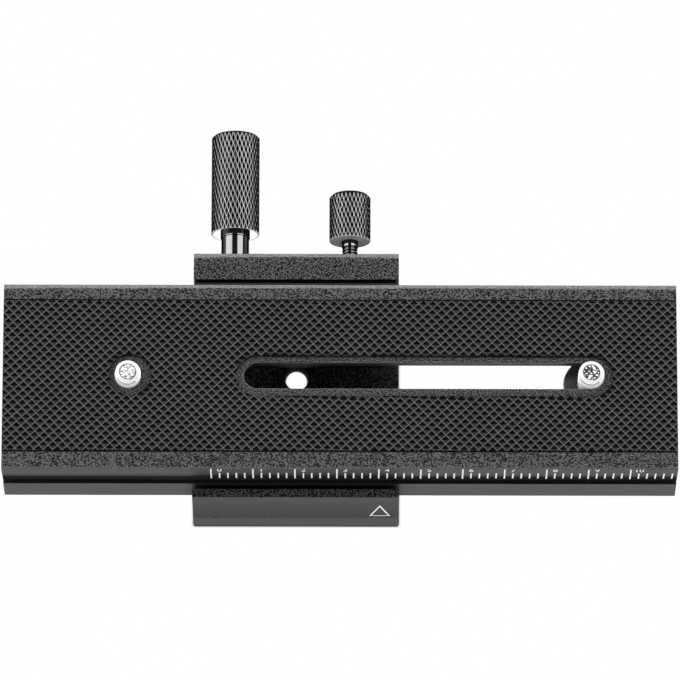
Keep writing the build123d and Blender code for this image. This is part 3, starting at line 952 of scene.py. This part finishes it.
@dataclass
class Thread:
    """Screw thread of standard pitch, in millimetres.

    Each point of its flanks is a share of the pitch, and 0 at the root or 1 at the crest.
    """

    FLANKS = ((0.0, 0), (0.06, 0), (0.44, 1), (0.56, 1), (0.94, 0), (1.0, 0))
    ROOT_SHARE = 0.8
    CHAMFER_CUTS = 4

    major: float
    pitch: float
    depth: float
    tip_ring: float = 0.3
    steps: int = 32

    def profile(self, inward: bool = False) -> list[tuple[float, float]]:
        """One pitch of the thread's flanks, in metres.

        Args:
            inward: Whether the thread is cut in a hole.

        Returns:
            Radius and height of each point.
        """
        radii = [self.major - self.depth, self.major]
        if inward:
            radii.reverse()
        return metres([(radii[side], share * self.pitch) for share, side in self.FLANKS])

    def wound(self, bottom: float, top: float, inward: bool = False) -> Blank:
        """Thread about the Z axis, open at both ends.

        Args:
            bottom: Height of its lower end, in metres.
            top: Height of its upper end, in metres.
            inward: Whether the thread is cut in a hole.

        Returns:
            The open thread.
        """
        pitch = self.pitch * MM
        turns = math.ceil((top - bottom) / pitch) + 2
        blank = Blank().wind(self.profile(inward), pitch, turns, self.steps)
        return blank.move(Matrix.Translation((0, 0, bottom - pitch))).trim(2, bottom, top)

    def rod(self, bottom: float, top: float, tip_radius: float, chamfer: float) -> Blank:
        """Threaded rod about the Z axis, with a chamfered top.

        Args:
            bottom: Height of the rod's lower end, in metres.
            top: Height of its tip, in metres.
            tip_radius: Radius of the flat tip, in metres.
            chamfer: Height of the chamfer, in metres.

        Returns:
            The closed rod.
        """
        blank = self.wound(bottom, top).add_layer("root")
        root = (self.major - self.depth * self.ROOT_SHARE) * MM
        blank.mark("root", (vert for vert in blank.mesh.verts if vert.co.xy.length < root))
        for level in range(1, self.CHAMFER_CUTS + 1):
            blank.cut(2, top - chamfer * level / self.CHAMFER_CUTS)
        tip = top - chamfer - MERGE
        blank.mark("root", (vert for vert in blank.mesh.verts if vert.co.z > tip), 0.0)
        for vert in blank.mesh.verts:
            limit = tip_radius + max(0.0, top - vert.co.z)
            reach = vert.co.xy.length
            if reach > limit:
                vert.co.x *= limit / reach
                vert.co.y *= limit / reach
        blank.cap()
        end = [face for face in blank.mesh.faces if min(vert.co.z for vert in face.verts) > top - MERGE]
        blank.mark("root", (vert for face in end for vert in face.verts))
        bmesh.ops.inset_region(blank.mesh, faces=end, thickness=self.tip_ring * MM)
        blank.mark("root", (vert for face in end for vert in face.verts), 0.0)
        return blank

    def socket(self, length: float, wall: float) -> Blank:
        """Ring with the thread cut inside it, from z = 0 to length.

        Args:
            length: Height of the ring, in metres.
            wall: Outer radius of the ring, in metres.

        Returns:
            The closed ring.
        """
        blank = self.wound(0.0, length, inward=True)
        shell = blank.cylinder(wall, length, self.steps, capped=False)
        bmesh.ops.translate(blank.mesh, verts=shell, vec=(0, 0, length / 2))
        blank.merge(WELD)
        for height in (0.0, length):
            bmesh.ops.triangle_fill(
                blank.mesh, use_beauty=True, edges=blank.rim(height), normal=(0, 0, 1)
            )
        return blank.merge()


QUARTER_INCH = Thread(major=3.1, pitch=1.27, depth=0.62, steps=40)
QUARTER_SOCKET = Thread(major=3.2, pitch=1.27, depth=0.55, steps=40)
THREE_EIGHTHS_SOCKET = Thread(major=4.8, pitch=1.5875, depth=0.6, steps=40)
LOCK_THREAD = Thread(major=1.88, pitch=0.8, depth=0.3)


@dataclass
class CameraScrew:
    """Bright slotted camera screw with a notched head, in millimetres."""

    node: str
    body: str
    finish: Finish = BRIGHT
    thread_start: float = 2.7
    head_height: float = 3.0
    head_bevel: float = 0.4
    notches: int = 48
    notch_depth: float = 0.22
    tip_chamfer: float = 1.15
    slot_width: float = 1.6
    slot_depth: float = 1.3

    def head(self, radius: float) -> Blank:
        """Head about the Z axis from z = 0, with fine notches round its rim.

        Args:
            radius: Radius over the notches, in metres.

        Returns:
            The closed head.
        """
        height, bevel, depth = self.head_height * MM, self.head_bevel * MM, self.notch_depth * MM
        outline = [
            (0, 0), (radius - bevel, 0), (radius, bevel), (radius, height - bevel / 2),
            (radius - bevel / 2, height), (0, height),
        ]
        blank = Blank().lathe(outline, self.notches * 2)
        for vert in blank.mesh.verts:
            reach = vert.co.xy.length
            if reach < radius - MERGE:
                continue
            step = round(math.atan2(vert.co.y, vert.co.x) / math.tau * self.notches * 2)
            if step % 2:
                vert.co.x *= 1 - depth / radius
                vert.co.y *= 1 - depth / radius
        return blank

    def build(self) -> None:
        """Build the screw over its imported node."""
        low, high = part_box(self.node)
        centre = middle(self.node)
        foot = Matrix.Translation((centre.x, centre.y, low.z))
        radius, chamfer = (high.x - low.x) / 2, self.tip_chamfer * MM
        cutter = Blank()
        bmesh.ops.create_cube(cutter.mesh, size=1)
        cutter.move(Matrix.Diagonal((3 * radius, self.slot_width * MM, 2 * self.slot_depth * MM, 1)))
        coin_slot = cutter.move(foot).object("coin_slot")
        head = self.head(radius).move(foot)
        head.piece(f"{self.node}_head", self.body, self.finish, [self.node], cutters=[coin_slot])
        tip = QUARTER_INCH.major * MM - chamfer
        rod = QUARTER_INCH.rod(self.thread_start * MM, high.z - low.z, tip, chamfer).move(foot)
        rod.piece(f"{self.node}_thread", self.body, self.finish, crease=THREAD_CREASE)


@dataclass
class HexSocket:
    """Packed screws that get a hexagon socket in their lower faces, in millimetres."""

    SIDES = 6

    node: str
    body: str
    finish: Finish
    across: float
    depth: float

    def build(self) -> None:
        """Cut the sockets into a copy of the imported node."""
        low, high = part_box(self.node)
        head = (high.y - low.y) / 2
        places = {round(place / MM, 3) for place in (low.x + head, high.x - head)}
        cutters = []
        for place in sorted(places):
            cutter = Blank()
            cutter.cylinder(self.across / math.sqrt(3), 2 * self.depth, self.SIDES)
            foot = Matrix.Translation((place * MM, low.y + head, low.z))
            cutters.append(cutter.move(foot @ Matrix.Scale(MM, 4)).object(f"hexagon_{len(cutters)}"))
        blank = Blank()
        blank.mesh.from_mesh(frame["nodes"][self.node].data)
        blank.merge(WELD)
        blank.piece(f"{self.node}_socketed", self.body, self.finish, [self.node], cutters=cutters)


@dataclass
class FocusDrive:
    """Polished focus shaft, its knob and the pieces on it, with radii and lengths in millimetres."""

    shaft: float = 3.35
    collar: float = 3.55
    collar_length: float = 1.1
    tail: float = 2.5
    tail_length: float = 17.0
    end: float = 2.0
    end_flat: float = 0.5
    journal: float = 2.25
    journal_start: float = 6.3
    groove: float = 1.5
    edge: float = 0.12
    sides: int = 128

    def build(self) -> None:
        """Build shaft, knob and grub screw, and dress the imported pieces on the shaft."""
        self.build_shaft()
        KnurledKnob("focus_knob", "focus", Knurl(around=34, period=2.86, depth=0.28, land=0.22)).build()
        dress(STEEL, "pinion")
        dress(NYLON, "inner_thrust_washer", "outer_thrust_washer")
        dress(BLACK_STEEL, "shaft_clip")
        HexSocket("knob_grub_screw", "focus", BLACK_STEEL, across=1.5, depth=1.1).build()

    def build_shaft(self) -> None:
        """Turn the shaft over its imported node."""
        low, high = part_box("focus_shaft")
        length = (high.y - low.y) / MM
        collar_end = length - self.tail_length
        collar_start = collar_end - self.collar_length
        clip_start, clip_end = ((corner.y - low.y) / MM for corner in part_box("shaft_clip"))
        shoulder = (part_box("outer_bushing")[0].y - low.y) / MM
        outline = [
            (0, 0), (self.end - self.edge, 0), (self.end, self.edge),
            (self.end, clip_start), (self.groove, clip_start), (self.groove, clip_end),
            (self.end, clip_end), (self.end, self.journal_start),
            (self.journal, self.journal_start), (self.journal, shoulder),
            (self.shaft, shoulder), (self.shaft, collar_start),
            (self.collar - self.edge, collar_start), (self.collar, collar_start + self.edge),
            (self.collar, collar_end - self.edge), (self.collar - self.edge, collar_end),
            (self.tail, collar_end), (self.tail, length), (0, length),
        ]
        blank = Blank().lathe(metres(outline), self.sides)
        flat = (self.end - self.end_flat) * MM
        start, limit = self.journal_start * MM + MERGE, self.journal * MM - MERGE
        for vert in blank.mesh.verts:
            if vert.co.z < start and vert.co.xy.length < limit:
                vert.co.y = max(vert.co.y, -flat)
        blank.lay("focus_shaft", low.y)
        blank.piece("focus_shaft_polished", "focus", POLISHED, ["focus_shaft"])


@dataclass
class LockDrive:
    """Threaded lock screw and its knob, with radii and lengths in millimetres."""

    point: float = 1.4
    point_length: float = 1.0
    point_chamfer: float = 0.3
    neck: float = 1.95
    neck_length: float = 1.67
    neck_edge: float = 0.15
    overlap: float = 0.1
    sides: int = 48

    def build(self) -> None:
        """Build the lock screw and knob."""
        low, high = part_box("lock_screw")
        length = (high.y - low.y) / MM
        neck_start = (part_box("lock_knob")[0].y - low.y) / MM - self.neck_length
        top = (neck_start + self.overlap) * MM
        rod = LOCK_THREAD.rod(self.point_length * MM, top, LOCK_THREAD.major * MM, self.overlap * MM)
        point_top = self.point_length + self.overlap
        point = [
            (0, 0), (self.point - self.point_chamfer, 0), (self.point, self.point_chamfer),
            (self.point, point_top), (0, point_top),
        ]
        neck = [
            (0, neck_start), (self.neck - self.neck_edge, neck_start),
            (self.neck, neck_start + self.neck_edge), (self.neck, length), (0, length),
        ]
        for outline in (point, neck):
            rod.lathe(metres(outline), self.sides)
        rod.lay("lock_screw", low.y)
        rod.piece("lock_screw_threaded", "lock", POLISHED, ["lock_screw"])
        knurl = Knurl(around=31, period=2.6, depth=0.26, land=0.2)
        # The lock knob's face gets a painted reflection of the white floor.
        KnurledKnob(
            "lock_knob", "lock", knurl, far_rim=0.7, bore=1.97, bore_depth=8.0, face=FLOOR_REFLECTION_FACE
        ).build()


@dataclass
class RubberPad:
    """Rubber pad moulded with small square pits between thin ridges, in millimetres."""

    SPARE_CELLS = 4

    cell: float = 1.58
    turn: float = 42.5
    ridge: float = 0.07
    # The ridges carry a painted highlight, brightest at their crossings; the two levels below keep their
    # corners and middles a little darker.
    corner_shade: float = 0.93
    middle_shade: float = 0.92
    pit: float = 0.45
    gap: float = 0.25
    shift: float = -0.33
    slot_left: float = -24.6
    slot_right: float = 64.8
    slot_width: float = 10.0
    slot_offset: float = -0.075
    hole_place: float = -49.8
    hole_width: float = 10.0
    hole_offset: float = 0.175
    cutter_depth: float = 10.0
    sides: int = 64
    crease: float = 15.0

    def sheet(self) -> Blank:
        """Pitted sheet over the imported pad's rectangle, closed below.

        Returns:
            A blank with the attribute ridge along the ridges between the pits.
        """
        low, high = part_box("rubber_pad")
        centre = (low + high) / 2
        length, width = high.x - low.x, high.y - low.y
        cell, gap = self.cell * MM, self.gap * MM
        count = math.ceil((length + width) / math.sqrt(2) / cell) + self.SPARE_CELLS
        blank = Blank().add_layer("ridge")
        bmesh.ops.create_grid(blank.mesh, x_segments=count, y_segments=count, size=count * cell / 2)
        blank.move(Matrix.Rotation(math.radians(self.turn), 4, "Z"))
        blank.move(Matrix.Translation((centre.x, centre.y + self.shift * MM, high.z)))
        walls = ((0, low.x, high.x), (1, low.y + gap, high.y - gap))
        for axis, start, end in walls:
            blank.trim(axis, start - 2 * cell, end + 2 * cell)
        rings = bmesh.ops.inset_individual(
            blank.mesh, faces=blank.mesh.faces[:], thickness=self.ridge * MM, depth=0
        )
        ridges = set(rings["faces"])
        pits = [face for face in blank.mesh.faces if face not in ridges]
        # The ridge attribute carries the ridges' painted highlight, brightest where they cross.
        blank.mark("ridge", blank.mesh.verts)
        crossings = {vert for face in ridges for vert in face.verts if len(vert.link_faces) > 3}
        corners = (vert for vert in blank.mesh.verts if vert not in crossings)
        blank.mark("ridge", corners, self.corner_shade)
        lines = [edge for edge in blank.mesh.edges if crossings.issuperset(edge.verts)]
        halved = bmesh.ops.subdivide_edges(blank.mesh, edges=lines, cuts=1)["geom_inner"]
        blank.mark("ridge", points_of(halved), self.middle_shade)
        bottoms = bmesh.ops.poke(blank.mesh, faces=pits, offset=-self.pit * MM)["verts"]
        blank.mark("ridge", bottoms, 0.0)
        for axis, start, end in walls:
            blank.trim(axis, start, end)
        skirt = bmesh.ops.extrude_edge_only(blank.mesh, edges=blank.rims())["geom"]
        for vert in points_of(skirt):
            vert.co.z = low.z
        return blank.cap()

    def cutter(
        self, name: str, left: float, right: float, width: float, offset: float
    ) -> bpy.types.Object:
        """Upright round-ended cutter along the pad.

        Args:
            name: Name of the cutter.
            left: Left end, from the pad's centre.
            right: Right end, from the pad's centre.
            width: Width, which is also that of the round ends.
            offset: Place across the pad, from its centreline.

        Returns:
            The cutter's object.
        """
        radius = width / 2
        blank = Blank()
        for vert in blank.cylinder(radius, self.cutter_depth, self.sides):
            vert.co.x += right - radius if vert.co.x > 0 else left + radius
        place = Matrix.Translation(middle("rubber_pad")) @ Matrix.Scale(MM, 4)
        return blank.move(place @ Matrix.Translation((0, offset, 0))).object(name)

    def build(self) -> None:
        """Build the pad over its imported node."""
        half, place = self.hole_width / 2, self.hole_place
        openings = (
            ("slot_cutter", self.slot_left, self.slot_right, self.slot_width, self.slot_offset),
            ("hole_cutter", place - half, place + half, self.hole_width, self.hole_offset),
        )
        cutters = [self.cutter(*opening) for opening in openings]
        self.sheet().piece(
            "rubber_pad_moulded", "rail", RUBBER, ["rubber_pad"], crease=self.crease, cutters=cutters
        )


@dataclass
class RailScale:
    """Printed millimetre scale on the front of the rail, in millimetres."""

    zero: float = -30.47
    major: float = 9.93
    parts: int = 5
    labels: int = 11
    line_width: float = 0.36
    long_top: float = 0.45
    long_bottom: float = 9.0
    short_top: float = 3.5
    short_bottom: float = 8.85
    digit_size: float = 3.3
    digit_narrowing: float = 0.72
    digit_bottom: float = 2.35
    curve_start: float = 3.5
    curve_radius: float = 25.25
    ridge_start: float = 8.5
    ridge_slope: float = 0.27
    line_steps: int = 8
    proud: float = 0.02
    thickness: float = 0.06

    def sink(self, depth: float) -> float:
        """How far the rail's front has curved in.

        Args:
            depth: Depth below the rail's top.

        Returns:
            Distance behind the front's foremost line.
        """
        past = max(0.0, min(depth, self.ridge_start) - self.curve_start)
        curve = self.curve_radius - math.sqrt(self.curve_radius**2 - past**2)
        return curve - self.ridge_slope * max(0.0, depth - self.ridge_start)

    def line(self, blank: Blank, place: float, top: float, bottom: float) -> None:
        """Add one upright line.

        Args:
            blank: The scale so far.
            place: Place of the line, from the rail's middle.
            top: Depth of its upper end below the rail's top.
            bottom: Depth of its lower end.
        """
        made = bmesh.ops.create_grid(blank.mesh, x_segments=1, y_segments=self.line_steps, size=0.5)
        shape = Matrix.Diagonal((self.line_width, bottom - top, 1, 1))
        put = Matrix.Translation((place, 0, -(top + bottom) / 2))
        bmesh.ops.transform(blank.mesh, matrix=put @ STAND_UP @ shape, verts=made["verts"])

    def digits(self, blank: Blank, number: int) -> None:
        """Add a number whose upper part runs out over the rail's edge.

        Args:
            blank: The scale so far.
            number: The number, which also gives its place.
        """
        text = bpy.data.curves.new("number", "FONT")
        text.body = str(number)
        text.size = self.digit_size
        text.align_x = "CENTER"
        holder = bpy.data.objects.new("number", text)
        mesh = bpy.data.meshes.new_from_object(holder)
        narrow = Matrix.Diagonal((self.digit_narrowing, 1, 1, 1))
        place = self.zero + (number + 1 / self.parts) * self.major
        put = Matrix.Translation((place, 0, -self.digit_bottom))
        mesh.transform(put @ STAND_UP @ narrow)
        blank.mesh.from_mesh(mesh)
        bpy.data.objects.remove(holder)
        bpy.data.curves.remove(text)

    def build(self) -> None:
        """Print the scale."""
        low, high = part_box("rail_bar")
        blank = Blank()
        for number in range(self.labels):
            self.digits(blank, number)
        blank.cut(2, -self.long_top, Cut.AHEAD)
        half = (high.x - low.x) / 2 / MM
        minor = self.major / self.parts
        ticks = math.floor((half - self.zero - self.line_width) / minor)
        for tick in range(ticks + 1):
            place = self.zero + tick * minor
            whole = tick % self.parts == 0 and tick // self.parts < self.labels
            top = self.long_top if whole else self.short_top
            bottom = self.long_bottom if whole else self.short_bottom
            self.line(blank, place, top, bottom)
        for vert in blank.mesh.verts:
            vert.co.y = self.sink(-vert.co.z) - self.proud
        bmesh.ops.remove_doubles(blank.mesh, verts=blank.mesh.verts, dist=MERGE)
        blank.thicken(self.thickness)
        corner = Vector(((low.x + high.x) / 2, low.y, high.z))
        blank.move(Matrix.Translation(corner) @ Matrix.Scale(MM, 4))
        blank.piece("scale_print", "rail", PRINT)


@dataclass
class Base:
    """Base block with its index mark, tripod threads and bush, in millimetres."""

    index_inset: float = 4.53
    index_bottom: float = 8.6
    index_height: float = 8.8
    index_width: float = 5.05
    index_line: float = 0.42
    flare: float = 0.1
    proud: float = 0.02
    thickness: float = 0.06
    plate: float = 2.8
    wall_overlap: float = 0.15

    def build(self) -> None:
        """Dress the base and add its print and threads."""
        dress(BASE_ANODISED, "base_block")
        dress(BRONZE, "outer_bushing")
        soften("base_block", 0.18)
        self.index()
        threads = {"tripod_socket": QUARTER_SOCKET, "tripod_socket_large": THREE_EIGHTHS_SOCKET}
        for mount in frame["record"]["mounts"]:
            if mount["name"] in threads:
                self.tripod_thread(mount["name"], threads[mount["name"]], mount["pos_m"])

    def index(self) -> None:
        """Print the outline of a triangle near the base's right end."""
        low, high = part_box("base_block")
        blank = Blank()
        bmesh.ops.create_circle(blank.mesh, cap_ends=True, segments=3, radius=1)
        *lower, top = sorted(blank.mesh.verts, key=lambda vert: vert.co.y)
        top.co = Vector((0, self.index_height, 0))
        for vert in lower:
            vert.co = Vector((math.copysign(self.index_width / 2, vert.co.x), 0, 0))
        inner = blank.mesh.faces[:]
        bmesh.ops.inset_region(
            blank.mesh, faces=inner, thickness=self.index_line, use_even_offset=True, use_boundary=True
        )
        bmesh.ops.delete(blank.mesh, geom=inner, context="FACES")
        blank.thicken(self.thickness).move(STAND_UP)
        front = max(vert.co.y for vert in blank.mesh.verts)
        corner = Vector((high.x, low.y, low.z))
        inset = Vector((-self.index_inset, self.flare, self.index_bottom)) * MM
        sunk = Matrix.Translation((0, self.thickness - self.proud - front, 0))
        blank.move(Matrix.Translation(corner + inset) @ Matrix.Scale(MM, 4) @ sunk)
        blank.piece("index_print", "base", PRINT)

    def tripod_thread(self, mount: str, thread: Thread, place: Sequence[float]) -> None:
        """Cut a thread inside a tripod socket of the base plate.

        Args:
            mount: Name of the socket.
            thread: Its thread.
            place: Middle of its mouth, in metres.
        """
        ring = thread.socket(self.plate * MM, (thread.major + self.wall_overlap) * MM)
        ring.move(Matrix.Translation(place))
        name = mount.replace("socket", "thread")
        ring.piece(name, "base", BASE_ANODISED, crease=THREAD_CREASE)


@dataclass(frozen=True)
class Softbox:
    """Soft lamp that faces the rail's middle.

    Attributes:
        name: Name of the lamp.
        side: Angle to the side of straight up, in degrees.
        lean: Angle to the back of straight up, in degrees.
        reach: Distance from the rail's middle, in metres.
        width: Size across the rail's length, in metres.
        depth: Size along the depth, in metres.
        radiance: Brightness of its face, where 1 is white.
    """

    name: str
    side: float
    lean: float
    reach: float
    width: float
    depth: float
    radiance: float

    def build(self) -> None:
        """Hang the lamp."""
        data = bpy.data.lights.new(self.name, "AREA")
        data.shape = "RECTANGLE"
        data.size = self.width
        data.size_y = self.depth
        data.energy = self.radiance * math.pi * self.width * self.depth
        made = add_object(self.name, data)
        back, angle = math.radians(self.lean), math.radians(self.side)
        level = math.cos(back)
        towards = Vector((level * math.sin(angle), math.sin(back), level * math.cos(angle)))
        across = Vector((0, 1, 0)).cross(towards).normalized()
        turn = Matrix((across, towards.cross(across).normalized(), towards)).transposed().to_4x4()
        made.matrix_world = Matrix.Translation(middle("rail_bar") + towards * self.reach) @ turn


SOFTBOXES = (
    Softbox("left_softbox", side=-54.0, lean=18.0, reach=1.2, width=1.17, depth=1.5, radiance=0.2),
    Softbox("left_core", side=-54.0, lean=18.0, reach=1.15, width=1.17, depth=0.2, radiance=9.0),
    Softbox("right_softbox", side=43.5, lean=18.0, reach=1.2, width=1.0, depth=1.5, radiance=0.2),
    Softbox("right_core", side=43.5, lean=18.0, reach=1.15, width=1.0, depth=0.2, radiance=9.0),
    Softbox("back_softbox", side=0.0, lean=56.0, reach=1.2, width=1.5, depth=0.5, radiance=1.8),
    Softbox("front_softbox", side=0.0, lean=-52.0, reach=1.2, width=1.5, depth=0.6, radiance=1.3),
)


@dataclass
class Studio:
    """Camera, lamps, world and floor of a product photograph.

    Angles are in degrees and lengths in metres, apart from the floor's drop and contact distance in
    millimetres and the scale in pixels per millimetre. CEILING is a range of the view's height, and
    the shadow constants are ranges of how open a place on the floor is.
    """

    CEILING = (0.3, 0.72)
    SHADOW_CORE = (0.54, 0.76)
    SHADOW_RIM = (0.84, 1.0)

    elevation: float = 72.0
    roll: float = 0.1
    distance: float = 1.9
    rise: float = 0.008454
    scale: float = 4.217
    frame_width: int = 680
    sensor: float = 36.0
    clip_start: float = 0.1
    clip_end: float = 20.0
    ceiling_dark: float = 0.85
    floor_size: float = 4.0
    floor_drop: float = 0.02
    floor_level: float = 0.8
    contact: float = 0.65
    contact_samples: int = 16
    shadow_level: float = 0.03
    shadow_core: float = 0.71
    shadow_rim: float = 0.26

    def build(self) -> None:
        """Set up the whole studio."""
        bpy.context.scene.view_settings.view_transform = "Standard"
        self.camera()
        for softbox in SOFTBOXES:
            softbox.build()
        self.world()
        self.floor()

    def camera(self) -> None:
        """Camera at the photograph's angle, above and in front of the rail."""
        low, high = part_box("rail_bar")
        target = Vector(((low.x + high.x) / 2, (low.y + high.y) / 2, high.z))
        angle = math.radians(self.elevation)
        back = Vector((0, -math.cos(angle), math.sin(angle)))
        up = Vector((0, math.sin(angle), math.cos(angle)))
        right = Vector((1, 0, 0))
        place = target + up * self.rise + back * self.distance
        lean = math.radians(self.roll)
        level = right * math.cos(lean) + up * math.sin(lean)
        upright = up * math.cos(lean) - right * math.sin(lean)
        data = bpy.data.cameras.new("camera")
        data.sensor_width = self.sensor
        data.lens = self.sensor * self.scale * self.distance / MM / self.frame_width
        data.clip_start = self.clip_start
        data.clip_end = self.clip_end
        made = add_object("camera", data)
        turn = Matrix((level, upright, back)).transposed().to_4x4()
        made.matrix_world = Matrix.Translation(place) @ turn
        bpy.context.scene.camera = made

    def world(self) -> None:
        """White surroundings near the horizon under a darker ceiling; white behind the object."""
        world = bpy.data.worlds.new("studio")
        bpy.context.scene.world = world
        graph = Graph(world)
        height = graph.part(graph.node("ShaderNodeTexCoord", output="Generated"), "Z")
        level = 1 - self.ceiling_dark * height.between(*self.CEILING)
        seen = graph.node("ShaderNodeLightPath", output="Is Camera Ray")
        strength = seen + (1 - seen) * level
        shader = graph.node("ShaderNodeBackground", inputs={"Color": grey(1.0), "Strength": strength})
        graph.node("ShaderNodeOutputWorld", inputs={"Surface": shader})

    def floor(self) -> None:
        """Pale floor that shows white and keeps the contact shadow."""
        blank = Blank()
        bmesh.ops.create_grid(blank.mesh, x_segments=1, y_segments=1, size=self.floor_size)
        made = blank.move(Matrix.Translation((0, 0, -self.floor_drop * MM))).object("floor")
        made.data.materials.append(bpy.data.materials.new("floor"))
        graph = Graph(made.data.materials[0])
        seen, glossy, through = (
            graph.node("ShaderNodeLightPath", output=f"Is {kind} Ray")
            for kind in ("Camera", "Glossy", "Transmission")
        )
        mirrored = glossy + through
        open_share = graph.node(
            "ShaderNodeAmbientOcclusion",
            {"samples": self.contact_samples},
            {"Distance": self.contact * MM},
            "AO",
        )
        core = self.shadow_core * open_share.between(*self.SHADOW_CORE)
        rim = self.shadow_rim * open_share.between(*self.SHADOW_RIM)
        strength = seen * (self.shadow_level + core + rim) + mirrored
        glow = graph.node("ShaderNodeEmission", inputs={"Color": grey(1.0), "Strength": strength})
        paint = graph.node("ShaderNodeBsdfDiffuse", inputs={"Color": grey(self.floor_level)})
        shown = graph.maths("MINIMUM", seen + mirrored, 1.0)
        shader = graph.node("ShaderNodeMixShader", inputs={0: shown, 1: paint, 2: glow})
        graph.node("ShaderNodeOutputMaterial", inputs={"Surface": shader})


def main() -> None:
    """Build the studio and every sub-assembly, in order."""
    Studio().build()
    dress(ANODISED, "rail_bar")
    soften("rail_bar", 0.22)
    RailScale().build()
    RubberPad().build()
    Base().build()
    dress(STEEL, "rack", "stop_pins")
    HexSocket("rack_screws", "rail", STEEL, across=2.0, depth=1.4).build()
    dress(SHADED_GIB_STRIP, "gib_plate")
    FocusDrive().build()
    LockDrive().build()
    CameraScrew("left_camera_screw", "left_screw").build()
    CameraScrew("right_camera_screw", "right_screw", WORN_BRIGHT).build()
    dress(NYLON, "left_screw_washer", "right_screw_washer")


if __name__ == "__main__":
    main()
